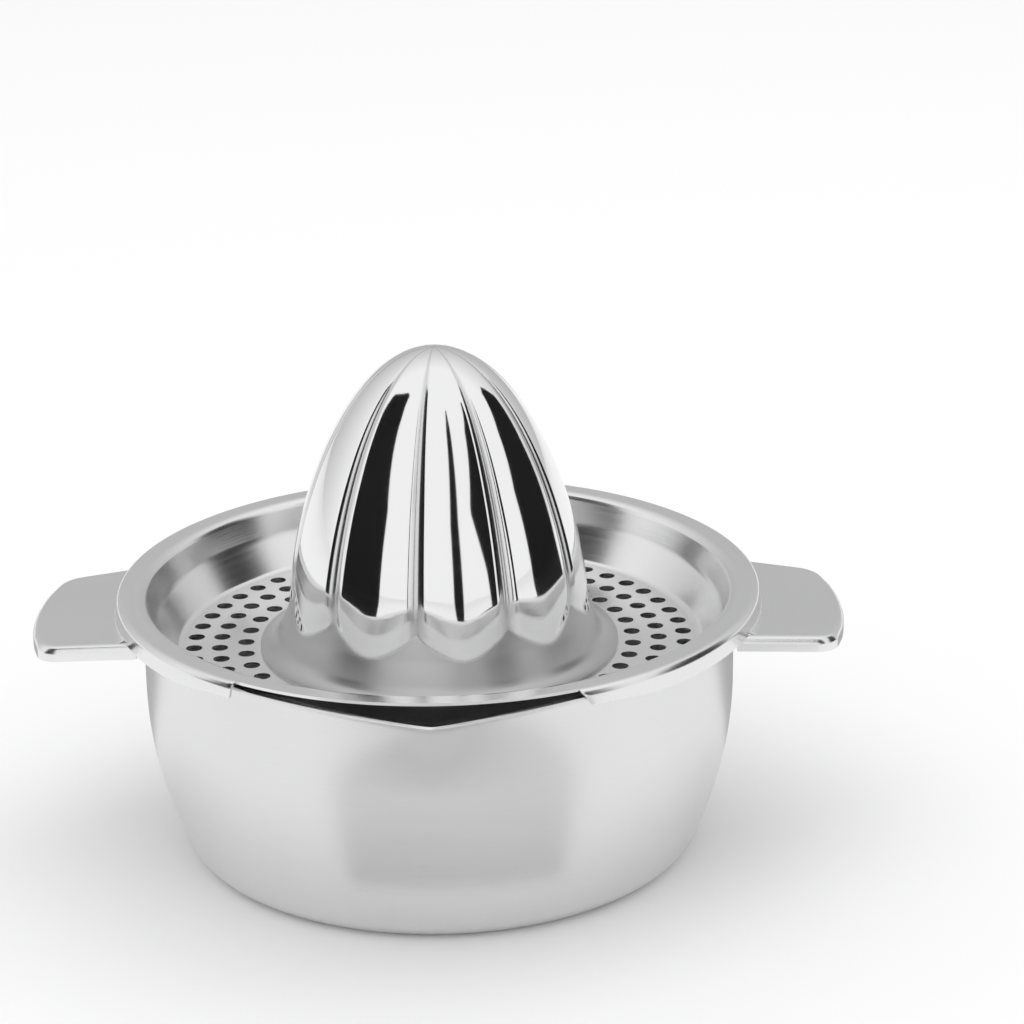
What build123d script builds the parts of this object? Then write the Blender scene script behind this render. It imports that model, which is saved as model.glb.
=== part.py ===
"""Hand citrus squeezer in pressed stainless sheet: a juice bowl, a strainer tray and a fluted reamer.

Frame: millimetres, +Z up, origin at the centre of the bowl's flat base, on the table.
The spout points along -Y and the two handles along -X and +X.
"""
from build123d import *
from math import atan2, cos, degrees, radians, sin, sqrt, tan
import os

# Juice bowl
bowl_sheet = 0.6
bowl_height = 55.2            # table to the top of the turned-out rim
bowl_wall_radius = 61.1       # outside of the upright wall
bowl_wall_height = 18.8       # the upright wall with its rim, down to the long curve
bowl_side_radius = 82.0       # long curve from the wall towards the base
bowl_corner_radius = 5.5      # round between the side and the flat base
bowl_rim_width = 3.5          # how far the rim stands out from the wall
bowl_rim_bend = 3.4           # outside radius of the bend under the rim

# Pouring spout, pinched out of the rim by two arcs that meet at its tip
spout_overhang = 8.3          # bowl's rim to the tip
spout_half_angle = 36.0       # from the front to where the arcs leave the rim
spout_depth = 19.0            # how far below its lip the spout begins
spout_dip = 1.3               # how far the lip lies below the bowl's rim
spout_flare = 1.6             # how late the spout swings out on its way up
spout_steps = 5               # sections below the rim's bend
spout_bend_steps = 4          # sections through the rim's bend
spout_run_in = 3.6            # how far its inside is carried back to open into the bowl

# Strainer tray
tray_sheet = 0.6
tray_depth = 13.2             # rim top to floor
tray_clearance = 1.8          # inside of the bowl's wall to the tray's shoulder
tray_wall_taper = 1.8         # how much the wall widens from the shoulder to the rim
tray_shoulder_width = 4.3     # the sloping shoulder, seen from above
tray_shoulder_drop = 6.3      # rim top to the shoulder
tray_shoulder_bend = 1.2
tray_floor_bend = 3.0
tray_mouth_bend = 2.2
rim_bend = 1.4
rim_clearance = 0.4           # between the bowl's rim and the start of the tray rim's bend
skirt_drop = 4.2              # rim top to the skirt's lower edge

# Cut-away of the skirt over the spout, as angles from the front
cutaway_left = 35.5
cutaway_right = 25.0
cutaway_left_lean = 0.9       # how much the opening widens towards its lower edge
cutaway_right_lean = 3.1

# Perforated floor, three rings of holes
hole_diameter = 3.4
strainer_width = 17.2         # edge of the reamer's foot to the edge of the floor
outer_hole_margin = 3.4       # edge of the floor to the middle of the outer ring's holes
inner_hole_margin = 3.1       # edge of the reamer's foot to the middle of the inner ring's holes
outer_ring_count = 52
middle_ring_count = 47
inner_ring_count = 39

# Handles, pressed out of the skirt
handle_length = 16.9          # skirt to the middle of the end
handle_root_half_width = 23.5
handle_end_half_width = 20.2
handle_end_bow = 3.4          # how far the end swells outwards
handle_corner_radius = 6.0
handle_drop = 4.8             # rim top to the handle's top face
handle_hem = 2.4              # height of the turned-down edge below the top sheet
handle_edge_radius = 1.5
handle_lean = 5.0             # degrees that the plate falls on its way out
handle_run_in = 16.0          # how far it is drawn back behind the skirt before it is trimmed

# Reamer
reamer_sheet = 0.6
reamer_height = 63.5          # tray floor to the apex
reamer_belly_height = 4.7     # where it is widest, above the tray floor
reamer_power = 1.65           # 2 is an ellipse, less is more pointed
lobe_count = 10
lobe_turn = 10.5              # angle from the front to the middle of a lobe
lobe_depth = 1.5              # crest to crease
lobe_fade = 6.0               # how late the creases fade out towards the apex
cap_start = 0.955             # share of the way up at which the smooth cap begins
lobe_levels = [0.0, 0.25, 0.5, 0.7, 0.85]
foot_spread = 5.8             # how far the foot's flange stands out from the lobes
foot_lap = 3.5                # how far the flange overlaps the hole in the tray
foot_flange = 1.6             # its flat edge
foot_flange_bend = 2.4
foot_slope = 58.0             # degrees from level
foot_neck_height = 7.0        # flange to where the foot turns steeper
foot_neck_slope = 72.0
foot_neck_bend = 8.0

# Heights and radii that follow from the sizes above
rim_top = bowl_height + tray_sheet
tray_floor = rim_top - tray_depth
bowl_knee_height = bowl_height - bowl_wall_height
bowl_rim_radius = bowl_wall_radius + bowl_rim_width
bend_start = bowl_height - bowl_sheet - bowl_rim_bend
spout_top = bowl_height - spout_dip
spout_reach = bowl_rim_radius + spout_overhang
tray_shoulder_radius = bowl_wall_radius - bowl_sheet - tray_clearance
tray_mouth_radius = tray_shoulder_radius + tray_wall_taper
tray_floor_radius = tray_shoulder_radius - tray_shoulder_width
rim_edge_radius = bowl_rim_radius + rim_clearance
skirt_radius = rim_edge_radius + rim_bend
foot_radius = tray_floor_radius - strainer_width
reamer_radius = foot_radius - foot_spread
hub_radius = foot_radius - foot_lap
outer_ring_radius = tray_floor_radius - outer_hole_margin
inner_ring_radius = foot_radius + inner_hole_margin
middle_ring_radius = (outer_ring_radius + inner_ring_radius) / 2
handle_top = rim_top - handle_drop

os.makedirs("parts", exist_ok=True)


def spout_circle(height):
    """Outside radius of the bowl at a height in the spout, where its rim bends out to the lip."""
    share = max(height - bend_start, 0.0) / (spout_top - bend_start)
    return bowl_wall_radius + bowl_rim_width * (1 - sqrt(1 - share**2))


def spout_tip(height):
    """Distance of the spout's ridge from the axis at a height."""
    share = (height - spout_top + spout_depth) / spout_depth
    return bowl_wall_radius + (spout_reach - bowl_wall_radius) * share**spout_flare


def spout_heights():
    """Heights of the spout's sections: up the wall, then through the rim's bend."""
    low = spout_top - spout_depth
    wall = [low + (bend_start - low) * (step + 1) / spout_steps for step in range(spout_steps)]
    turn = radians(90 / spout_bend_steps)
    bend = [bend_start + (spout_top - bend_start) * sin(turn * (step + 1)) for step in range(spout_bend_steps)]
    return wall + bend


def spout_section(height, inset, depth):
    """Two arcs leaving the bowl along its wall, drawn inwards by inset and carried depth into the bowl."""
    root = Vector(0, inset + bowl_sheet / 2 - spout_circle(height)).rotate(Axis.Z, spout_half_angle)
    along_wall = Vector(-1, 0).rotate(Axis.Z, spout_half_angle)
    with BuildSketch(Plane.XY.offset(height)) as section:
        with BuildLine():
            TangentArc(root, (0, inset - spout_tip(height)), tangent=along_wall)
            Polyline(root, (root.X, root.Y + depth), (0, root.Y + depth))
            mirror(about=Plane.YZ)
        make_face()
    return section.sketch


# The bowl's sheet turned about the axis, with a spout lofted through its sections
with BuildPart() as spout_outside:
    loft([spout_section(height, 0, bowl_sheet) for height in spout_heights()], ruled=True)

with BuildPart() as spout_inside:
    loft([spout_section(height, bowl_sheet, spout_run_in) for height in spout_heights()], ruled=True)
    add(spout_section(spout_top, -bowl_sheet, spout_run_in))
    extrude(amount=spout_dip + bowl_sheet)

side_centre = bowl_wall_radius - bowl_side_radius
corner_rise = bowl_knee_height - bowl_corner_radius
corner_run = sqrt((bowl_side_radius - bowl_corner_radius) ** 2 - corner_rise**2)
base_radius = side_centre + corner_run
corner_angle = degrees(atan2(corner_rise, corner_run))

with BuildPart() as juice_bowl:
    with BuildSketch(Plane.XZ):
        with BuildLine() as bowl_path:
            Line((0, 0), (base_radius, 0))
            CenterArc((base_radius, bowl_corner_radius), bowl_corner_radius, -90, 90 - corner_angle)
            CenterArc((side_centre, bowl_knee_height), bowl_side_radius, -corner_angle, corner_angle)
            Line((bowl_wall_radius, bowl_knee_height), (bowl_wall_radius, bend_start))
            CenterArc((bowl_wall_radius + bowl_rim_bend, bend_start), bowl_rim_bend, 180, -90)
            Line(bowl_path.line @ 1, (bowl_rim_radius, bowl_height - bowl_sheet))
            offset(amount=bowl_sheet, side=Side.LEFT)
        make_face()
    revolve(axis=Axis.Z)
    add(spout_outside.part)
    add(spout_inside.part, mode=Mode.SUBTRACT)
juice_bowl.part.label = "juice_bowl"
export_step(juice_bowl.part, "parts/juice_bowl.step")


# A handle on the +X side: a plate leaning down from the skirt, its edge turned down all round
handle_fall = radians(handle_lean)
plate_plane = Plane((skirt_radius, 0, handle_top), x_dir=(cos(handle_fall), 0, -sin(handle_fall)),
                    z_dir=(sin(handle_fall), 0, cos(handle_fall)))
plate_corner = handle_length - handle_end_bow
plate_root = sqrt(skirt_radius**2 - handle_root_half_width**2) - skirt_radius
plate_taper = (handle_root_half_width - handle_end_half_width) / (plate_corner - plate_root)
run_in_half_width = handle_end_half_width + plate_taper * (plate_corner + handle_run_in)
skirt_half_width = handle_root_half_width - handle_edge_radius - tray_sheet

with BuildPart() as handle:
    with BuildSketch(plate_plane) as plate:
        with BuildLine():
            ThreePointArc((plate_corner, handle_end_half_width), (handle_length, 0),
                          (plate_corner, -handle_end_half_width))
            Polyline((plate_corner, -handle_end_half_width), (-handle_run_in, -run_in_half_width),
                     (-handle_run_in, run_in_half_width), (plate_corner, handle_end_half_width))
        make_face()
        fillet(plate.vertices().sort_by(Axis.X)[-2:], handle_corner_radius)
    extrude(amount=-(tray_sheet + handle_hem))
    across_plate = Axis(plate_plane.origin, plate_plane.z_dir)
    fillet(handle.faces().sort_by(across_plate)[-1].edges(), handle_edge_radius)
    offset(amount=-tray_sheet, openings=handle.faces().sort_by(across_plate)[0])
    with BuildSketch(Plane.XY.offset(rim_top)):
        Circle(skirt_radius - tray_sheet)
    extrude(amount=-tray_depth, mode=Mode.SUBTRACT)
    with BuildSketch(Plane.XY.offset(handle_top - tray_sheet)):
        Circle(skirt_radius)
        Circle(skirt_radius - tray_sheet, mode=Mode.SUBTRACT)
        with Locations((skirt_radius, 0)):
            Rectangle(skirt_radius, 2 * skirt_half_width, mode=Mode.INTERSECT)
    extrude(amount=handle_drop + tray_sheet - rim_bend)

# The opening in the skirt over the spout, wider at its lower edge, outside the rim's flat ring
with BuildPart() as cutaway:
    left = skirt_radius * sin(radians(cutaway_left))
    right = skirt_radius * sin(radians(cutaway_right))
    with BuildSketch(Plane.XZ):
        with BuildLine():
            Polyline((-left, rim_top), (right, rim_top), (right + cutaway_right_lean, rim_top - skirt_drop),
                     (-left - cutaway_left_lean, rim_top - skirt_drop), close=True)
        make_face()
    extrude(amount=skirt_radius)
    with BuildSketch(Plane.XY.offset(rim_top)):
        Circle(rim_edge_radius)
    extrude(amount=-skirt_drop, mode=Mode.SUBTRACT)

with BuildPart() as strainer_tray:
    with BuildSketch(Plane.XZ):
        with BuildLine():
            FilletPolyline((hub_radius, tray_floor), (tray_floor_radius, tray_floor),
                           (tray_shoulder_radius, rim_top - tray_shoulder_drop), (tray_mouth_radius, rim_top),
                           (skirt_radius, rim_top), (skirt_radius, rim_top - skirt_drop),
                           radius=[tray_floor_bend, tray_shoulder_bend, tray_mouth_bend, rim_bend])
            offset(amount=tray_sheet, side=Side.RIGHT)
        make_face()
    revolve(axis=Axis.Z)
    add(cutaway.part, mode=Mode.SUBTRACT)
    add(handle.part)
    mirror(handle.part, about=Plane.YZ)
    with PolarLocations(outer_ring_radius, outer_ring_count, 180 / outer_ring_count):
        Hole(hole_diameter / 2)
    with PolarLocations(middle_ring_radius, middle_ring_count):
        Hole(hole_diameter / 2)
    with PolarLocations(inner_ring_radius, inner_ring_count, 180 / inner_ring_count):
        Hole(hole_diameter / 2)
strainer_tray.part.label = "strainer_tray"
export_step(strainer_tray.part, "parts/strainer_tray.step")


def crest_radius(share, radius):
    """Radius over the lobes at a share of the way from the belly to the apex."""
    return radius * sqrt(1 - share**reamer_power)


def crease_depth(share):
    """Depth of the creases there: it fades out where the cap begins."""
    return lobe_depth * (1 - (share / cap_start) ** lobe_fade)


def lobed_section(height, crest, depth):
    """Ring of convex arcs, one for each lobe, meeting in creases."""
    step = 360 / lobe_count
    with BuildSketch(Plane.XY.offset(height)) as section:
        with BuildLine():
            for lobe in range(lobe_count):
                middle = lobe_turn - 90 + lobe * step
                crease_before = Vector(crest - depth, 0).rotate(Axis.Z, middle - step / 2)
                top_of_lobe = Vector(crest, 0).rotate(Axis.Z, middle)
                crease_after = Vector(crest - depth, 0).rotate(Axis.Z, middle + step / 2)
                ThreePointArc(crease_before, top_of_lobe, crease_after)
        make_face()
    return section.sketch


def lobed_body(inset):
    """The fluted cone as a filled body, drawn inwards by inset."""
    radius = reamer_radius - inset
    belly = tray_floor + reamer_belly_height
    rise = reamer_height - reamer_belly_height - inset
    levels = lobe_levels + [cap_start]
    sections = [lobed_section(tray_floor, radius, lobe_depth)]
    for share in levels:
        sections.append(lobed_section(belly + share * rise, crest_radius(share, radius), crease_depth(share)))
    cap_middle = (cap_start + 1) / 2
    with BuildPart() as body:
        loft(sections)
        with BuildSketch(Plane.XZ):
            with BuildLine():
                cap_base = belly + cap_start * rise
                cap_radius = crest_radius(cap_start, radius)
                ThreePointArc((cap_radius, cap_base), (crest_radius(cap_middle, radius), belly + cap_middle * rise),
                              (0, belly + rise))
                Polyline((0, belly + rise), (0, cap_base), (cap_radius, cap_base))
            make_face()
        revolve(axis=Axis.Z)
    return body.part


# The reamer: a hollow fluted cone whose toes run out on a bell-shaped foot with a flat flange
foot_top = tray_floor + reamer_sheet
foot_slope_radius = foot_radius - foot_flange
foot_neck_radius = foot_slope_radius - foot_neck_height / tan(radians(foot_slope))
foot_lost_radius = reamer_radius - 2 * lobe_depth   # one lobe depth behind the creases
foot_lost_height = foot_neck_height + (foot_neck_radius - foot_lost_radius) * tan(radians(foot_neck_slope))

with BuildPart() as reamer_cone:
    add(lobed_body(0))
    with BuildSketch(Plane.XZ):
        with BuildLine():
            FilletPolyline((foot_radius, foot_top), (foot_slope_radius, foot_top),
                           (foot_neck_radius, foot_top + foot_neck_height),
                           (foot_lost_radius, foot_top + foot_lost_height),
                           radius=[foot_flange_bend, foot_neck_bend])
            offset(amount=reamer_sheet, side=Side.LEFT)
        make_face()
    revolve(axis=Axis.Z)
    add(lobed_body(reamer_sheet), mode=Mode.SUBTRACT)
reamer_cone.part.label = "reamer_cone"
export_step(reamer_cone.part, "parts/reamer_cone.step")
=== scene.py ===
# %% [markdown]
# A citrus squeezer in pressed steel.
# Three pieces of stainless sheet are drawn here: a juice bowl with a pinched spout, a strainer tray with
# two handles, and a fluted reamer cone. The imported CAD model is loaded first and stays the measure of
# everything: the height of the tray's rim is read from its box.

# %% Load the frame
import math

import bmesh
import bpy
import numpy as np
from mathutils import Matrix, Vector


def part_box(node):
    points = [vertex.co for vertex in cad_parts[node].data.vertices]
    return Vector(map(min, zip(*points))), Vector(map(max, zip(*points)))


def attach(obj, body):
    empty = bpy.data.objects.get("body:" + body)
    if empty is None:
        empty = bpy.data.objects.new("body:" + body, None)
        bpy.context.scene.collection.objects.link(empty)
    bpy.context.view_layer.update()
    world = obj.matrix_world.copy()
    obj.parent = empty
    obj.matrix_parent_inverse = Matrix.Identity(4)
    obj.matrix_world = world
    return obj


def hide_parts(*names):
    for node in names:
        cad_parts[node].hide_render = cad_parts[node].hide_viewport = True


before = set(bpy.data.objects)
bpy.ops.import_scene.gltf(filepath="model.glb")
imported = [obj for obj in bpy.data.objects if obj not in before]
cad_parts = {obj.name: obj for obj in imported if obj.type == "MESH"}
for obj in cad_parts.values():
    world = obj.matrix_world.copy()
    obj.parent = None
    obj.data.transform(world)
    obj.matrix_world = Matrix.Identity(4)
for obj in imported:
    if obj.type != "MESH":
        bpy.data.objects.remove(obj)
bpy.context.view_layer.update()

# %% [markdown]
# Working in millimetres.
# Sheet metal is thought of in millimetres, and Blender's unit is the metre. Every size below is written
# in millimetres and turned into metres in one place, where a mesh is made. Heights count from the table.
# Angles are in degrees, count from the front, where the spout is, and grow towards the right hand side.

# %% Shared sizes
MM = 0.001
sheet = 0.6                  # thickness of all the steel
tray_depth = 13.2            # rim to strainer floor
rim_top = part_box("strainer_tray")[1].z / MM
tray_floor = rim_top - tray_depth
print(f"rim {rim_top:.1f} mm and strainer floor {tray_floor:.1f} mm above the table")


# %% Places and steps
def around(radius, angle):
    """The x and y of a point at a radius and an angle from the front."""
    turn = np.radians(angle)
    return radius * np.sin(turn), -radius * np.cos(turn)


def ease(value):
    """Runs smoothly from 0 to 1 while the value does, and stays there outside."""
    t = np.clip(value, 0.0, 1.0)
    return t * t * (3 - 2 * t)


def steps(count):
    """The shares of a way that is walked in equal steps, from the first step to the end."""
    return np.linspace(0, 1, count + 1)[1:]


def quarter(count):
    """The angles, in radians, of a quarter turn that is walked in equal steps, with its start."""
    return np.linspace(0, math.pi / 2, count + 1)


print("two steps of a way end at", steps(2))

# %% [markdown]
# Sheets from grids of points.
# A pressed piece is a thin skin, so each one is modelled as a single surface: rows of points, joined by
# quads. A profile is a line with rounded corners, as the bends of a sheet are.

# %% Grids and rounded lines
def grid(bm, rows, closed=False):
    """Adds rows of points to a mesh and joins them with quads; closed rows meet themselves again."""
    lines = [[bm.verts.new([c * MM for c in point]) for point in row] for row in rows]
    for low, high in zip(lines, lines[1:]):
        count = len(low)
        for k in range(count if closed else count - 1):
            after = (k + 1) % count
            bm.faces.new((low[k], low[after], high[after], high[k]))
    return lines


def rounded_path(corners, radii, turn_step=9.0, least_steps=3):
    """A line through corner points whose inner corners are rounded, as points in a plane."""
    corners = [np.array(corner, float) for corner in corners]
    points = [corners[0]]
    for before, corner, after, radius in zip(corners, corners[1:], corners[2:], radii):
        arrive = (corner - before) / np.linalg.norm(corner - before)
        leave = (after - corner) / np.linalg.norm(after - corner)
        turn = math.acos(np.clip(arrive @ leave, -1, 1))
        start = corner - arrive * radius * math.tan(turn / 2)
        side = np.sign(arrive[0] * leave[1] - arrive[1] * leave[0])
        centre = start + side * radius * np.array([-arrive[1], arrive[0]])
        count = max(least_steps, math.ceil(math.degrees(turn) / turn_step))
        for step in range(count + 1):
            part = side * turn * step / count
            spin = np.array([[math.cos(part), -math.sin(part)], [math.sin(part), math.cos(part)]])
            points.append(centre + spin @ (start - centre))
    points.append(corners[-1])
    return points


# %% [markdown]
# From skin to sheet.
# The Solidify modifier gives the skin its thickness, and a small Bevel takes the sharpness off every cut
# edge, as tumbling or polishing does in the factory. Weighted normals keep the flat areas looking flat
# beside the rounded ones. The finished sheet stands for its CAD node and moves with that node's body.

# %% Steel sheet
merge_distance = 0.0004      # points nearer than this become one
bevel_from = 50.0            # edges that turn by more degrees than this are softened
bevel_segments = 2


def steel_sheet(name, bm, node, body, edge=0.14, flat_parts=True):
    """Turns a surface into a piece of steel sheet with softened edges, on a body and for a CAD node."""
    bmesh.ops.remove_doubles(bm, verts=bm.verts, dist=merge_distance * MM)
    mesh = bpy.data.meshes.new(name)
    bm.to_mesh(mesh)
    bm.free()
    mesh.shade_smooth()
    piece = bpy.data.objects.new(name, mesh)
    bpy.context.scene.collection.objects.link(piece)
    thickness = piece.modifiers.new("sheet thickness", "SOLIDIFY")
    thickness.thickness = sheet * MM
    thickness.offset = -1
    softened = piece.modifiers.new("softened edges", "BEVEL")
    softened.width = edge * MM
    softened.segments = bevel_segments
    softened.limit_method = "ANGLE"
    softened.angle_limit = math.radians(bevel_from)
    if flat_parts:
        flat = piece.modifiers.new("flat stays flat", "WEIGHTED_NORMAL")
        flat.keep_sharp = False
    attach(piece, body)
    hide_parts(node)
    print(f"{name}: {len(mesh.vertices)} points, {len(mesh.polygons)} faces before its modifiers")
    return piece


# %% [markdown]
# The juice bowl.
# The bowl is drawn from one disc of sheet: a flat base, a rounded corner, a long curved side, an upright
# wall and a rim turned outwards. Such a form is a profile turned about an axis, so the profile comes
# first, as a list of radii and heights. The corner's arc and the side's arc touch, which fixes the base.

# %% Sizes of the bowl
bowl_wall_radius = 61.1
bowl_knee = 36.4             # height where the long side curve becomes the upright wall
bowl_side_radius = 82.0
bowl_corner = 5.5
bowl_rim_width = 3.5
bowl_bend = 3.4              # height of the bend under the rim
bowl_bend_start = rim_top - 2 * sheet - bowl_bend

side_centre = bowl_wall_radius - bowl_side_radius
corner_rise = bowl_knee - bowl_corner
corner_run = math.sqrt((bowl_side_radius - bowl_corner) ** 2 - corner_rise**2)
base_radius = side_centre + corner_run
corner_end = math.atan2(corner_rise, corner_run)
print(f"bowl: base radius {base_radius:.1f} mm, wall radius {bowl_wall_radius} mm")

# %% Profile of the bowl
base_rings, corner_steps, side_steps, wall_steps, bend_steps = 12, 12, 28, 14, 9

bowl_profile = [(radius, 0.0) for radius in np.linspace(0.0, base_radius, base_rings)]
for turn in (math.pi / 2 - corner_end) * steps(corner_steps):
    bowl_profile.append((base_radius + bowl_corner * math.sin(turn), bowl_corner * (1 - math.cos(turn))))
for turn in corner_end * (1 - steps(side_steps)):
    radius = side_centre + bowl_side_radius * math.cos(turn)
    bowl_profile.append((radius, bowl_knee - bowl_side_radius * math.sin(turn)))
for height in np.linspace(bowl_knee, bowl_bend_start, wall_steps + 1)[1:]:
    bowl_profile.append((bowl_wall_radius, height))
for turn in quarter(bend_steps)[1:]:
    radius = bowl_wall_radius + bowl_rim_width * (1 - math.cos(turn))
    bowl_profile.append((radius, bowl_bend_start + bowl_bend * math.sin(turn)))
print(f"bowl profile: {len(bowl_profile)} points")

# %% [markdown]
# The spout.
# It is pinched out of the rim. Seen from above, two arcs leave the wall along its own direction and meet
# at a tip, and the pinch fades out further down. So each point of the turned profile is pushed outwards
# to the arc of its height, and the lip dips a little below the rest of the rim.

# %% Spout
spout_reach = 72.9           # axis to the tip
spout_half_angle = 36.0      # from the tip to where the arcs leave the wall
spout_depth = 19.0           # how far down the pinch goes
spout_flare = 1.6            # how quickly it fades out downwards
lip_dip = 1.3
dip_beyond, dip_run = 10.0, 14.0     # the dip starts so far past the arcs' ends, and deepens over the run
tip_round = 0.9              # degrees over which the tip is rounded
spout_low = rim_top - sheet - lip_dip - spout_depth


def lip_height(height, angle):
    """Height of a profile point after the lip's dip, which fades in over the spout's ends."""
    share = np.clip((height - bowl_bend_start) / bowl_bend, 0, 1)
    return height - lip_dip * share * ease((spout_half_angle + dip_beyond - abs(angle)) / dip_run)


def pinched(radius, height, angle):
    """Radius of the bowl's outside at an angle, pushed out to the spout's arc."""
    share = (height - spout_low) / spout_depth
    off_tip = math.hypot(angle, tip_round)
    if share <= 0 or off_tip >= spout_half_angle:
        return radius
    tip = max(radius, bowl_wall_radius + (spout_reach - bowl_wall_radius) * share**spout_flare)
    half = math.radians(spout_half_angle)
    swing = (radius**2 - tip**2) / (2 * (radius - tip * math.cos(half)))
    across = math.cos(half - math.radians(off_tip))
    return swing * across + math.sqrt((swing * across) ** 2 - 2 * radius * swing + radius**2)


print(f"the pinch starts {spout_low:.1f} mm above the table")

# %% [markdown]
# The bowl's skin.
# The rows of the grid are the profile's points, and the columns are angles round the axis. They lie
# closer at the spout, and closest at its tip, where the surface turns most.

# %% Bowl
tip_side, spout_side = 6.0, 40.0               # angles where the columns' spacing changes
tip_step, spout_step, bowl_step = 0.5, 1.0, 1.25

bowl_angles = np.concatenate([
    np.arange(-spout_side, -tip_side, spout_step), np.arange(-tip_side, tip_side, tip_step),
    np.arange(tip_side, spout_side, spout_step), np.arange(spout_side, 360 - spout_side, bowl_step)])
bowl_angles = np.where(bowl_angles > 180, bowl_angles - 360, bowl_angles)

bm = bmesh.new()
bowl_rows = []
for radius, height in bowl_profile:
    row = []
    for angle in bowl_angles:
        level = lip_height(height, angle)
        row.append((*around(pinched(radius, level, angle), angle), level))
    bowl_rows.append(row)
grid(bm, bowl_rows, closed=True)
juice_bowl = steel_sheet("juice_bowl_sheet", bm, "juice_bowl", "bowl")

# %% [markdown]
# The strainer tray.
# The tray hangs in the bowl by its rim. Its profile runs from the floor up a sloping shoulder and a steep
# wall to a flat rim, and turns down outside the bowl's rim as a skirt. Over the spout the skirt is cut
# away, so the ring of wall and rim goes all the way round and the skirt is a strip with two ends.

# %% Profile of the tray
floor_flat = 53.45           # the floor is flat and pierced up to here
floor_edge = 54.4            # where the floor and the shoulder would meet
shoulder_radius = 58.7
shoulder_drop = 6.3
mouth_radius = 60.5
rim_edge = 65.0              # where the rim's outer bend begins
ring_bends = [1.7, 6.0, 2.0]                   # at the floor, above the shoulder and at the mouth

ring_profile = rounded_path(
    [(floor_flat, tray_floor), (floor_edge, tray_floor), (shoulder_radius, rim_top - shoulder_drop),
     (mouth_radius, rim_top), (rim_edge, rim_top)], ring_bends)
print(f"tray ring profile: {len(ring_profile)} points")

# %% Ring
cut_left, cut_right = -35.5, 25.0              # ends of the cut-away at the rim
cut_left_lean, cut_right_lean = 0.78, 2.7      # degrees by which it widens towards its lower edge
strip_points, front_points = 301, 71           # along the skirt and along the cut-away


def strip_angle(share, fall):
    """Angle of a place along the skirt, from its right end round the back to its left end."""
    right = cut_right + cut_right_lean * fall
    left = 360 + cut_left - cut_left_lean * fall
    return right + (left - right) * share


strip_share = np.linspace(0, 1, strip_points)
front_angles = np.linspace(cut_left, cut_right, front_points + 2)[1:-1]
ring_angles = np.concatenate([strip_angle(strip_share, 0.0), front_angles])
bm = bmesh.new()
grid(bm, [[(*around(radius, angle), height) for angle in ring_angles] for radius, height in ring_profile],
     closed=True)
print(f"ring of the tray: {len(ring_angles)} columns")

# %% [markdown]
# The skirt.
# It bends down from the rim over a small radius and ends in a free lower edge. Beside the cut-away it is
# a little shallower. At the handles it is drawn down to the height at which their tongues leave it.

# %% Skirt
skirt_radius = 66.4
skirt_drop = 4.2
skirt_end_drop, skirt_end_run = 3.2, 16.0      # drop beside the cut-away, and degrees to the full drop
handle_middle, handle_spread = 90.0, 19.5      # where the skirt is drawn down into the handles
handle_draw = 1.5                              # degrees over which that happens
handle_drop = 4.8
rim_bend = skirt_radius - rim_edge
rim_bend_steps, skirt_steps = 8, 5


def skirt_low(angle):
    """How far the skirt's lower edge lies below the rim's top at an angle."""
    beside = min(angle - cut_right, 360 + cut_left - angle)
    low = skirt_end_drop + (skirt_drop - skirt_end_drop) * ease(beside / skirt_end_run)
    near_handle = min(abs(angle - handle_middle), abs(angle - 360 + handle_middle))
    drawn = ease((handle_spread - near_handle) / handle_draw + 0.5)
    return low + (handle_drop + sheet - low) * drawn


skirt_rows = []
for turn in quarter(rim_bend_steps):
    fall = rim_bend * (1 - math.cos(turn))
    radius = rim_edge + rim_bend * math.sin(turn)
    angles = strip_angle(strip_share, fall / skirt_drop)
    skirt_rows.append([(*around(radius, angle), rim_top - fall) for angle in angles])
skirt_lows = [skirt_low(angle) for angle in strip_angle(strip_share, 0.0)]
for part in steps(skirt_steps):
    row = []
    for share, low in zip(strip_share, skirt_lows):
        fall = rim_bend + (low - rim_bend) * part
        row.append((*around(skirt_radius, strip_angle(share, min(fall / skirt_drop, 1))), rim_top - fall))
    skirt_rows.append(row)
grid(bm, skirt_rows)
print(f"skirt from {cut_right} to {360 + cut_left} degrees")

# %% [markdown]
# The pierced floor.
# Three rings of round holes let the juice through. A Boolean for each hole would be slow and untidy.
# Instead the outlines of floor and holes are drawn as closed loops of edges, and Blender's triangle fill
# closes the space between them. A narrow ring of quads round each hole gives the Bevel clean edges.

# %% Pierced floor
hole_radius = 1.7
hole_ring_width = 0.3
hole_sides = 24
holes_from = 90.0            # angle from which the holes of a ring are counted
hub_radius = 33.7            # opening in the middle, covered by the reamer's flange
hub_step = 2.0               # degrees between its points
hole_rings = [(51.0, 52, 0.5), (45.65, 47, 0.0), (40.3, 39, 0.5)]     # radius, count, start in steps


def loop(bm, points):
    """A closed loop of edges through points."""
    verts = [bm.verts.new([c * MM for c in point]) for point in points]
    return [bm.edges.new((a, b)) for a, b in zip(verts, verts[1:] + verts[:1])]


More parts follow.
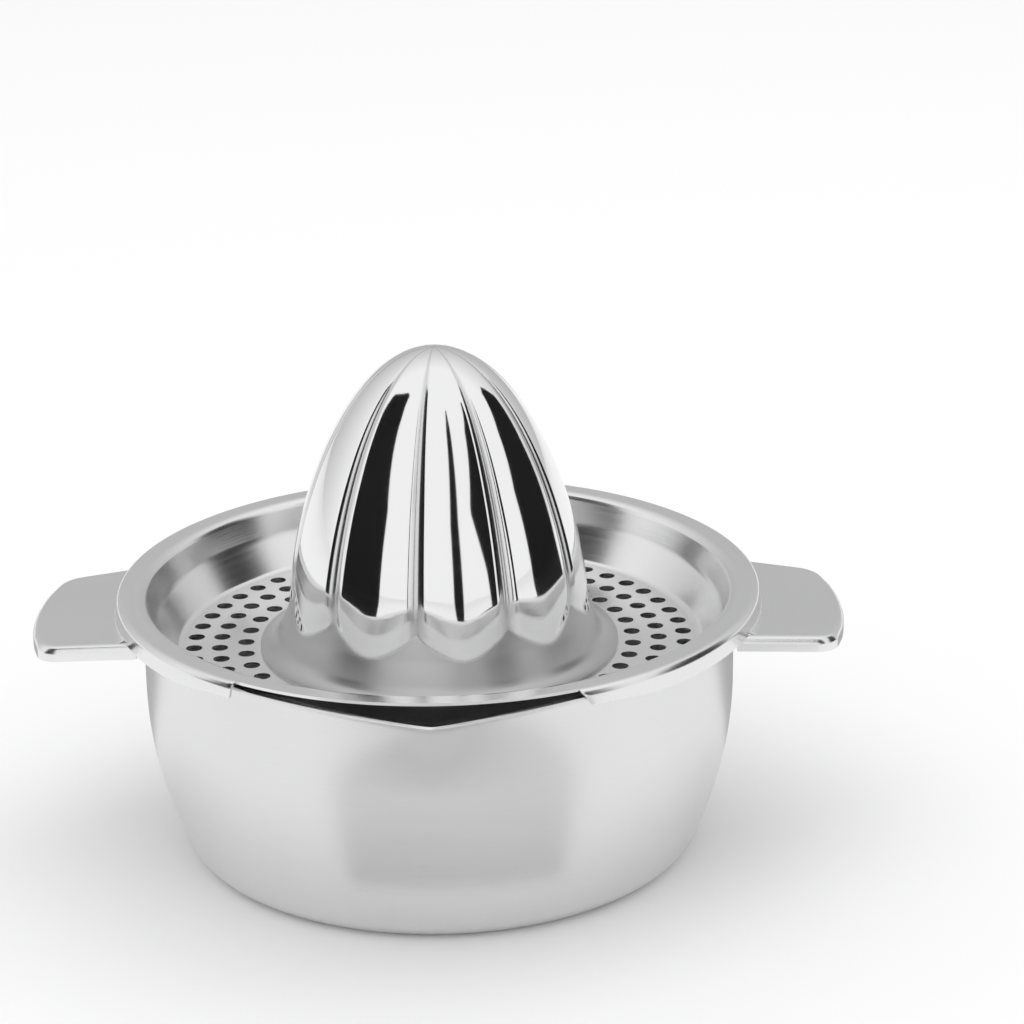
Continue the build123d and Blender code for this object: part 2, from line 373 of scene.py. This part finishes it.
edges = loop(bm, [(*around(floor_flat, angle), tray_floor) for angle in ring_angles])
edges += loop(bm, [(*around(hub_radius, angle), tray_floor) for angle in np.arange(0, 360, hub_step)])
hole_turns = np.radians(np.arange(hole_sides) * 360 / hole_sides)
for ring_radius, count, start in hole_rings:
    for number in range(count):
        x, y = around(ring_radius, holes_from + (number + start) * 360 / count)
        rows = [[(x + r * math.cos(t), y + r * math.sin(t), tray_floor) for t in hole_turns]
                for r in (hole_radius, hole_radius + hole_ring_width)]
        lip = grid(bm, rows, closed=True)[1]
        edges += [bm.edges.get((a, b)) for a, b in zip(lip, lip[1:] + lip[:1])]
filled = bmesh.ops.triangle_fill(bm, edges=edges, use_beauty=True, use_dissolve=False)
floor_faces = [item for item in filled["geom"] if isinstance(item, bmesh.types.BMFace)]
print(f"pierced floor: {sum(count for _, count, _ in hole_rings)} holes, {len(floor_faces)} triangles")

# %% [markdown]
# The handles.
# Each handle is a flat tongue pressed out of the skirt, with its edge rolled down all round. Its outline
# is drawn as a line with an outward direction at every point, so the roll is an arc swept along it. The
# outline starts inside the skirt, so that the rolled edge runs into the steel and leaves no gap.

# %% Outline of a handle
handle_length = 17.4         # skirt to the middle of the end
root_half, end_half = 23.5, 20.2               # half the width at the skirt and at the end
end_bow = 3.4
handle_corner = 6.0
corner_reach = 1.1           # of the corner's radius: the stretch of the end that the rounding takes up
root_run_in = 1.6            # the tongue's sides begin this far inside the skirt
bow_points, tongue_side_steps, handle_turn_step = 25, 12, 6.0


def handle_outline():
    """Outline of the tongue from its front root round the end to its back root, with outward directions."""
    end_radius = (end_half**2 + end_bow**2) / (2 * end_bow)
    end_turn = math.asin(end_half / end_radius)
    bow = [(skirt_radius + handle_length - end_radius * (1 - math.cos(t)), end_radius * math.sin(t))
           for t in np.linspace(-end_turn, end_turn, bow_points)]
    root_x = math.sqrt((skirt_radius - root_run_in) ** 2 - root_half**2)
    keep = [point for point in bow if abs(point[1]) < end_half - corner_reach * handle_corner]
    front = rounded_path([(root_x, -root_half), bow[0], keep[0]], [handle_corner], handle_turn_step)
    back = rounded_path([keep[-1], bow[-1], (root_x, root_half)], [handle_corner], handle_turn_step)
    front_side = [front[0] + (front[1] - front[0]) * part for part in steps(tongue_side_steps)[:-1]]
    back_side = [back[-2] + (back[-1] - back[-2]) * part for part in steps(tongue_side_steps)[:-1]]
    path = np.array([front[0], *front_side, *front[1:-1], *keep, *back[1:-1], *back_side, back[-1]])
    along = np.gradient(path, axis=0)
    along /= np.linalg.norm(along, axis=1)[:, None]
    return path, np.stack([along[:, 1], -along[:, 0]], axis=1)


outline, outwards = handle_outline()
print(f"handle outline: {len(outline)} points, {skirt_radius + handle_length:.1f} mm from the axis")

# %% [markdown]
# The handle's skin.
# It is made of two grids that share a row of points. The tongue starts with a hollow fillet on the skirt
# and runs out flat to where the roll begins. The edge is the roll and the hem below it.

# %% Handles
handle_lean = math.tan(math.radians(5.0))
edge_roll = 1.5              # outside radius of the rolled edge
hem_height = 3.0             # of the turned-down edge, with its roll
root_fillet = 1.2
fillet_steps, tongue_steps, roll_steps = 6, 8, 7


def plate_height(x):
    """Height of the tongue's top at a distance from the axis."""
    return rim_top - handle_drop - (x - skirt_radius) * handle_lean


inner = outline - edge_roll * outwards
tongue = inner[np.hypot(inner[:, 0], inner[:, 1]) > skirt_radius + root_fillet]
root_turn = math.atan2(tongue[-1][1], tongue[-1][0])
root_span = np.linspace(-root_turn, root_turn, len(tongue))
tongue_rows = []
for turn in quarter(fillet_steps):
    radius = skirt_radius + root_fillet * (1 - math.cos(turn))
    rise = root_fillet * (1 - math.sin(turn))
    root = radius * np.stack([np.cos(root_span), np.sin(root_span)], axis=1)
    tongue_rows.append([(x, y, plate_height(x) + rise) for x, y in root])
for part in steps(tongue_steps):
    tongue_rows.append([(x, y, plate_height(x)) for x, y in root + (tongue - root) * part])
edge_rows = []
for turn in quarter(roll_steps):
    rolled = inner + outwards * edge_roll * math.sin(turn)
    edge_rows.append([(x, y, plate_height(x) - edge_roll * (1 - math.cos(turn))) for x, y in rolled])
edge_rows.append([(x, y, plate_height(x) - hem_height) for x, y in outline])
for hand in (-1, 1):
    for rows in (tongue_rows, edge_rows):
        placed = [[(hand * x, y, z) for x, y, z in row] for row in rows]
        grid(bm, placed if hand > 0 else [row[::-1] for row in placed])
bmesh.ops.recalc_face_normals(bm, faces=bm.faces)
strainer_tray = steel_sheet("strainer_tray_sheet", bm, "strainer_tray", "squeezer_top")

# %% [markdown]
# The reamer cone.
# Ten lobes run from a smooth cap down to rounded toes on a bell-shaped foot. High up the cone is nearly
# round, with a narrow groove between two lobes. Towards the toes each lobe bulges into an arc of its own.
# So the lobes are a dip taken off a round cone, and the dip changes its form with the height. Heights on
# the reamer count from the tray's floor.

# %% Lobes
reamer_height = 63.5
reamer_radius = 31.4
belly = 4.7                  # height where the lobes are widest
belly_round = 0.07           # softens the turn from the leaning lobes to their upright toes
reamer_power = 1.65          # roundness of the cone
groove_width = 0.24          # of half a lobe, high up
groove_depth = 0.025         # of the cone's radius, high up
groove_fade = 24.0           # how late the grooves fade out towards the apex
cap_start = 0.995            # share of the way up at which they are gone
toe_depth = 1.5              # of the creases between the toes
toe_from, toe_to = 20.0, 7.0                   # heights between which the lobes become toes
crease_round = 0.08          # of half a lobe, softens the creases between the toes


def groove_shape(across):
    """How deep in a groove a place across a lobe is, from 0 on the lobe to 1 at the bottom."""
    return 0.5 * (1 + np.cos(math.pi * np.minimum((1 - np.abs(across)) / groove_width, 1.0)))


def lobe_surface(level, across):
    """Radius of the lobed cone at a height, for places from -1 to 1 across a lobe."""
    share = (level - belly) / (reamer_height - belly)
    lean = math.hypot(share, belly_round) ** reamer_power - belly_round**reamer_power
    full = math.hypot(1, belly_round) ** reamer_power - belly_round**reamer_power
    crest = reamer_radius * math.sqrt(max(1 - lean / full, 0.0))
    toe = ease((toe_from - level) / (toe_from - toe_to))
    fade = max(1 - (max(share, 0) / cap_start) ** groove_fade, 0.0)
    from_crease = 1 - np.abs(across)
    arc = (1 + crease_round - np.hypot(from_crease, crease_round)) ** 2
    groove = groove_depth * crest * fade * (1 - toe) * groove_shape(across)
    return crest - groove - toe_depth * toe * arc


crease_at_belly = lobe_surface(belly, np.array([0.0, 1.0]))
print("radius on a toe and in the crease beside it:", crease_at_belly.round(2))

# %% [markdown]
# The foot.
# It is a plain circle at each height, a bell that flares into a flat flange. Where lobes and foot cross,
# the larger of the two radii is the surface, with a small rounding, so the toes grow out of the foot by
# themselves. This saves cutting and joining two meshes along a wavy line.

# %% Foot
flange_radius = 37.2
flare_start = 34.3           # where the flange and the foot's slope would meet
neck_radius, neck_height = 31.3, 7.6
foot_end_radius, foot_end_height = 28.4, 16.4  # hidden inside the lobes
foot_bends = [4.2, 8.0]      # at the flange and at the neck
foot_turn_step = 4.0
crossing_round = 0.22        # softness of the line where lobes and foot meet

foot_profile = rounded_path(
    [(flange_radius, sheet), (flare_start, sheet), (neck_radius, neck_height),
     (foot_end_radius, foot_end_height)], foot_bends, foot_turn_step)
foot_radii, foot_levels = np.array(foot_profile).T


def larger(first, second, softness):
    """The larger of two radii, rounded where they cross."""
    return 0.5 * (first + second + np.sqrt((first - second) ** 2 + softness**2))


print(f"foot profile: {len(foot_profile)} points")

# %% [markdown]
# The reamer's skin.
# Columns lie closer in the grooves and rows closer at the toes, because the surface turns most there.
# Each point also notes how satin it is: the foot is left satin, and the buffing wheel barely reaches the
# grooves. The same note paints the foot and the grooves a darker grey, which is painted shade. The finish
# reads that note later on, as an attribute of the mesh.

# %% Columns of the reamer
lobe_count = 10
lobe_turn = 10.5             # angle of the middle of a lobe
lobe_samples = 44

across_lobe = np.sin(np.linspace(-math.pi / 2, math.pi / 2, lobe_samples + 1)[:-1])
lobe_places = np.tile(across_lobe, lobe_count)
lobe_middles = lobe_turn + np.repeat(np.arange(lobe_count), lobe_samples) * 360 / lobe_count
reamer_angles = lobe_middles + lobe_places * 180 / lobe_count


def reamer_ring(radii, level):
    """One row of the reamer's points at a height."""
    return [(x, y, tray_floor + level) for x, y in zip(*around(radii, reamer_angles))]


print(f"reamer: {len(reamer_angles)} columns")

# %% Reamer
# share of the grooves in the satin roughness and in the darker grey of painted shade, beside 1 for the foot
groove_satin_and_shade = 0.6           # how satin the grooves stay, beside 1 for the foot
flange_top = 2.0             # up to this height the rows follow the foot's own points
toes_top, cap_from = 17.0, 55.0                # heights where the rows' spacing changes
toe_rows, side_rows, cap_rows = 39, 35, 19

reamer_rows, satin_and_shade_rows = [], []
for radius, level in foot_profile:
    if level < flange_top:
        reamer_rows.append(reamer_ring(radius, level))
        satin_and_shade_rows.append(np.ones(len(reamer_angles)))
        lowest = level
levels = np.concatenate([
    np.linspace(lowest, toes_top, toe_rows + 1)[1:], np.linspace(toes_top, cap_from, side_rows + 1)[1:],
    cap_from + (reamer_height - cap_from) * np.sin(steps(cap_rows) * math.pi / 2)])
for level in levels:
    lobes = lobe_surface(level, lobe_places)
    foot = np.interp(level, foot_levels, foot_radii, right=0.0)
    radii = larger(lobes, foot, crossing_round) if level < foot_end_height else lobes
    reamer_rows.append(reamer_ring(radii, level))
    # where the foot and the grooves are satin and painted a darker grey as painted shade
    on_foot = ease(0.5 + (foot - lobes) / (2 * crossing_round))
    satin_and_shade_rows.append(np.maximum(on_foot, groove_satin_and_shade * groove_shape(lobe_places)))

bm = bmesh.new()
# this note marks the satin places, which the finish also paints a darker grey as painted shade
satin_shade_layer = bm.verts.layers.float.new("satin_and_painted_shade")
for line, shares in zip(grid(bm, reamer_rows, closed=True), satin_and_shade_rows):
    for vert, share in zip(line, shares):
        vert[satin_shade_layer] = share
bmesh.ops.recalc_face_normals(bm, faces=bm.faces)
reamer_cone = steel_sheet("reamer_cone_sheet", bm, "reamer_cone", "squeezer_top",
                          edge=0.1, flat_parts=False)

# %% [markdown]
# Shader sums in plain Python.
# A steel finish is worked out from the place of each point: how far it is from the axis, how high it is,
# and noise stretched along the brushing. In Blender such sums are chains of Math nodes. The small class
# below wraps a socket, so that a sum written in Python adds those nodes by itself.

# %% Node helpers
class Value:
    """A socket that can be used in sums; every operator adds one Math node."""

    def __init__(self, finish, socket):
        self.finish = finish
        self.socket = socket

    def math(self, operation, first, second=0.0):
        return self.finish.node("ShaderNodeMath", {"operation": operation}, {0: first, 1: second})

    def __add__(self, other):
        return self.math("ADD", self, other)

    def __radd__(self, other):
        return self.math("ADD", other, self)

    def __sub__(self, other):
        return self.math("SUBTRACT", self, other)

    def __rsub__(self, other):
        return self.math("SUBTRACT", other, self)

    def __mul__(self, other):
        return self.math("MULTIPLY", self, other)

    def __rmul__(self, other):
        return self.math("MULTIPLY", other, self)

    def __pow__(self, other):
        return self.math("POWER", self, other)

    def beside(self, output):
        """Another output of the same node."""
        return Value(self.finish, self.socket.node.outputs[output])


class Finish:
    """A material or world whose nodes are added one call at a time."""

    def __init__(self, owner):
        owner.use_nodes = True
        self.owner = owner
        self.tree = owner.node_tree
        self.tree.nodes.clear()

    def node(self, kind, settings=None, sockets=None, output=0):
        """Adds a node: its settings first, then the values or links of its sockets."""
        made = self.tree.nodes.new(kind)
        for key, setting in (settings or {}).items():
            setattr(made, key, setting)
        for key, value in (sockets or {}).items():
            if isinstance(value, Value):
                self.tree.links.new(value.socket, made.inputs[key])
            else:
                made.inputs[key].default_value = value
        return Value(self, made.outputs[output]) if made.outputs else made


# %% [markdown]
# Brushed and mirror steel.
# All three pieces are bare stainless steel, so each is fully metallic with a light grey colour. What sets
# them apart is the polish. The bowl is satin, with a very fine grain. The tray is brushed round its axis,
# so its grain follows circles. The cone is buffed to a mirror, with just a trace of waviness. The grain
# goes into roughness and a faint bump, and a slow cloud of noise keeps the grey from being dead even.
# The cone's foot and grooves are satin and rougher, and their colour is a darker grey of painted shade.

# %% Steel finish
cloud_scale = 22.0           # clouds per metre, or about one in 45 mm
cloud_share = 0.6            # of the cloud in the grey; the rest is the grain's
cloud_rough = 0.05           # how much the cloud changes the polish
grain_relief = 0.0001        # height of the grain in metres, before the bump's strength


def grey(shade):
    """A neutral colour with its alpha."""
    return (shade, shade, shade, 1)


def steel(name, dark, light, rough, rough_spread, grain_across, grain_along, bump, painted_shade_grey=None,
          satin_rough=0.0):
    """A steel finish whose grain runs round the axis: many grain lines across, few along.

    Where the mesh notes a satin place, the darker grey of painted shade takes over and the roughness grows.
    """
    finish = Finish(bpy.data.materials.new(name))
    place = finish.node("ShaderNodeTexCoord", output=3)
    x = finish.node("ShaderNodeSeparateXYZ", sockets={0: place})
    y, z = x.beside(1), x.beside(2)
    radius = (x * x + y * y) ** 0.5
    line = finish.node("ShaderNodeCombineXYZ", sockets={
        0: radius * grain_across + x * grain_along, 1: z * grain_across + y * grain_along,
        2: (x - y) * grain_along})
    grain = finish.node("ShaderNodeTexNoise", {"noise_dimensions": "3D"},
                        {"Vector": line, "Scale": 1.0, "Detail": 3.0, "Roughness": 0.6})
    cloud = finish.node("ShaderNodeTexNoise", {"noise_dimensions": "3D"},
                        {"Vector": place, "Scale": cloud_scale, "Detail": 2.0, "Roughness": 0.5})
    colour = finish.node("ShaderNodeMix", {"data_type": "RGBA"}, {
        0: cloud * cloud_share + grain * (1 - cloud_share), 6: dark, 7: light}, output=2)
    relief = finish.node("ShaderNodeBump", sockets={
        "Height": grain, "Strength": bump, "Distance": grain_relief})
    roughness = rough + (grain - 0.5) * rough_spread + (cloud - 0.5) * cloud_rough
    # painted shade: the satin places of the cone are coloured a darker grey, and they also get rougher
    if painted_shade_grey:
        satin_and_shade_place = finish.node("ShaderNodeAttribute", {"attribute_name": "satin_and_painted_shade"}, output=2)
        colour = finish.node("ShaderNodeMix", {"data_type": "RGBA"},
                             {0: satin_and_shade_place, 6: colour, 7: painted_shade_grey}, output=2)
        roughness = roughness + satin_and_shade_place * satin_rough
    shader = finish.node("ShaderNodeBsdfPrincipled", sockets={
        "Base Color": colour, "Metallic": 1.0, "Roughness": roughness, "Normal": relief})
    finish.node("ShaderNodeOutputMaterial", sockets={"Surface": shader})
    return finish.owner


# %% Three finishes
bowl_steel = steel("bowl_satin_steel", (0.74, 0.74, 0.745, 1), grey(0.82), rough=0.30, rough_spread=0.10,
                   grain_across=2600, grain_along=60, bump=0.10)
tray_steel = steel("tray_brushed_steel", (0.76, 0.76, 0.765, 1), grey(0.86), rough=0.22, rough_spread=0.10,
                   grain_across=2200, grain_along=25, bump=0.12)
# the reamer's foot and grooves get a darker grey of painted shade, beside their real satin roughness
reamer_steel = steel("reamer_mirror_steel", (0.84, 0.84, 0.845, 1), grey(0.88), rough=0.06,
                     rough_spread=0.03, grain_across=400, grain_along=40, bump=0.02,
                     painted_shade_grey=grey(0.52), satin_rough=0.30)
for piece, finish in ((juice_bowl, bowl_steel), (strainer_tray, tray_steel), (reamer_cone, reamer_steel)):
    piece.data.materials.append(finish)
    print(f"{piece.name} is finished in {finish.name}")

# %% [markdown]
# The table.
# The set is a white table in a white room. The table is one large plain surface, and it keeps the
# squeezer's soft shadow.

# %% Table
floor_half = 6000.0
table_shade, table_rough = 0.93, 0.9
paint_gloss = 0.1            # matt paint, with hardly any gloss


def stage_surface(name, rows, shade, roughness):
    """A plain surface of the set, in a grey shade, which isn't part of the object."""
    bm = bmesh.new()
    grid(bm, rows)
    mesh = bpy.data.meshes.new(name)
    bm.to_mesh(mesh)
    bm.free()
    mesh.shade_smooth()
    surface = bpy.data.objects.new(name, mesh)
    bpy.context.scene.collection.objects.link(surface)
    finish = Finish(bpy.data.materials.new(name))
    shader = finish.node("ShaderNodeBsdfPrincipled", sockets={
        "Base Color": grey(shade), "Roughness": roughness, "Specular IOR Level": paint_gloss})
    finish.node("ShaderNodeOutputMaterial", sockets={"Surface": shader})
    mesh.materials.append(finish.owner)
    return surface


stage_surface("white_table", [[(x, y, 0.0) for x in (-floor_half, floor_half)]
                              for y in (-floor_half, floor_half)], table_shade, table_rough)
print(f"white table, {2 * floor_half * MM:.0f} m wide")

# %% [markdown]
# Flags and cards.
# Polished steel has no look of its own and shows what stands around it, so the room matters more than
# the lamps. As in a photographer's studio, black flags at both sides give the mirror cone its dark
# leaves, and grey cards on the table give the bowl soft fields of grey. They are hidden from the camera
# and from diffuse light, so they only show in the steel.

# %% Flags
flag_distance = 1000.0
flag_middle = 70.0           # height of the cone's middle, from which the flags are laid out
flag_rows, flag_columns = 33, 16
above_table = 0.95           # share of the way down to the table that a flag may take
black, card_rough = 0.01, 0.8


def hide_from_camera(panel):
    """Leaves a panel of the set visible in the steel only."""
    panel.visible_camera = False
    panel.visible_diffuse = False
    panel.visible_shadow = False


def flag(name, edges):
    """A black panel seen from the cone between two angles that change with the rise above the horizon.

    The edges are given as rows of rise, left angle and right angle. Below the horizon the panel comes
    nearer, so that it stays above the table.
    """
    rises, lefts, rights = zip(*edges)
    rows = []
    for rise in np.linspace(rises[0], rises[-1], flag_rows):
        reach = flag_distance
        if rise < 0:
            reach = min(reach, above_table * flag_middle / math.sin(math.radians(-rise)))
        out = reach * math.cos(math.radians(rise))
        height = flag_middle + reach * math.sin(math.radians(rise))
        left, right = np.interp(rise, rises, lefts), np.interp(rise, rises, rights)
        rows.append([(*around(out, angle), height) for angle in np.linspace(left, right, flag_columns)])
    hide_from_camera(stage_surface(name, rows, black, card_rough))


flag("black_flag_left", [(-11, -83, -44), (18, -80, -44), (50, -95, -58), (62, -76, -68)])
flag("black_flag_slim", [(-11, 13, 20), (18, 13, 20), (50, 19, 25), (60, 24, 26)])
flag("black_flag_inner", [(-11, 43, 58), (5, 40, 58), (20, 32, 58), (45, 46, 66), (58, 62, 66)])
flag("black_flag_right", [(-11, 79, 111), (15, 80, 114), (30, 90, 121), (42, 108, 116)])
print(f"black flags stand {flag_distance * MM:.0f} m from the cone")

# %% Cards
front_grey, side_grey = 0.68, 0.40
card_lift = 1.0              # above the table
card_columns = 15


def table_card(name, near, far, shade):
    """A card lying on the table, between a near and a far edge given as distance, left and right angle."""
    rows = [[(*around(reach, angle), card_lift) for angle in np.linspace(left, right, card_columns)]
            for reach, left, right in (near, far)]
    hide_from_camera(stage_surface(name, rows, shade, card_rough))


table_card("grey_card_in_front", (66, -21, 30), (330, -37, 48), front_grey)
table_card("grey_card_left", (76, -150, -114), (260, -150, -114), side_grey)
table_card("grey_card_right", (76, 114, 150), (260, 114, 150), side_grey)
print("grey cards lie in front of the bowl and beside it")

# %% [markdown]
# The room.
# A world shader stands for the room. What the camera and the steel see is white, apart from a grey wall
# low behind the table, which gives the level steel its tone. What lights the table is kept just below
# white, so that the table doesn't clip.

# %% Room
ambient = 0.92               # what the room gives the table
back_wall = 0.52             # grey of the wall behind the table, beside the white of the rest
wall_direction = (0.0, 1.0, -0.25)             # towards the wall, and a little down to keep it low
wall_full = 0.9              # how far a look has to point that way to see the wall's full grey

world = bpy.data.worlds.new("white_room")
bpy.context.scene.world = world
room = Finish(world)
camera_ray = room.node("ShaderNodeLightPath")
glossy_ray, transmission_ray = camera_ray.beside("Is Glossy Ray"), camera_ray.beside("Is Transmission Ray")
seen = camera_ray.math("MAXIMUM", camera_ray.math("MAXIMUM", camera_ray, glossy_ray), transmission_ray)
look = room.node("ShaderNodeTexCoord")
towards = room.node("ShaderNodeVectorMath", {"operation": "DOT_PRODUCT"}, {0: look, 1: wall_direction},
                    output=1)
dimmed = room.node("ShaderNodeMapRange", {"interpolation_type": "LINEAR"}, {
    "Value": towards, "From Min": 0.0, "From Max": wall_full, "To Min": 1.0, "To Max": back_wall})
light = room.node("ShaderNodeBackground", sockets={
    "Color": grey(1.0), "Strength": ambient + seen * (dimmed - ambient)})
room.node("ShaderNodeOutputWorld", sockets={"Surface": light})
print(f"white room with a back wall of {back_wall}")

# %% [markdown]
# Two soft lamps.
# The room already lights the squeezer from all sides. Two large weak lamps overhead only firm up the
# shadow on the table. They are kept out of the reflections, where they would show as bright squares.

# %% Lamps
lamp_size, lamp_energy = 1200.0, 3.0
lamp_aim = (0, 0, 40)


def soft_lamp(name, place):
    """A square lamp at a place, turned towards the squeezer."""
    lamp = bpy.data.objects.new(name, bpy.data.lights.new(name, "AREA"))
    lamp.data.size = lamp_size * MM
    lamp.data.energy = lamp_energy
    lamp.location = Vector(place) * MM
    lamp.rotation_euler = (Vector(lamp_aim) - Vector(place)).to_track_quat("-Z", "Y").to_euler()
    lamp.visible_glossy = False
    bpy.context.scene.collection.objects.link(lamp)


soft_lamp("lamp_above_left", (-500, -300, 1500))
soft_lamp("lamp_above_right", (600, 300, 1500))
print(f"two lamps of {lamp_energy} W")

# %% [markdown]
# The camera.
# It was fitted to the photograph: it stands in front of the spout, about 20 degrees above the table, with
# a long lens. It is placed by the directions it sees as right, up and forward.

# %% Camera
camera_rise = math.radians(19.5607)
camera_roll = math.radians(0.7678)
camera_distance = 642.31
focal_pixels = 3101.37
picture_width = 1024
sensor_width = 36
shift_right, shift_up = -15.25, -14.093        # where the rim's centre lies in the picture plane

sideways = Vector((1, 0, 0))
forward = Vector((0, math.cos(camera_rise), -math.sin(camera_rise)))
upright = Vector((0, math.sin(camera_rise), math.cos(camera_rise)))
right = math.cos(camera_roll) * sideways - math.sin(camera_roll) * upright
up = math.sin(camera_roll) * sideways + math.cos(camera_roll) * upright
place = Vector((0, 0, rim_top)) - shift_right * right - shift_up * up - camera_distance * forward

camera = bpy.data.objects.new("camera", bpy.data.cameras.new("camera"))
bpy.context.scene.collection.objects.link(camera)
camera.data.sensor_width = sensor_width
camera.data.lens = focal_pixels * sensor_width / picture_width
camera_turn = Matrix((right, up, -forward)).transposed().to_4x4()
camera_turn.translation = place * MM
camera.matrix_world = camera_turn
bpy.context.scene.camera = camera
bpy.context.scene.view_settings.view_transform = "Standard"
print(f"camera {camera_distance:.0f} mm away, lens {camera.data.lens:.1f} mm")
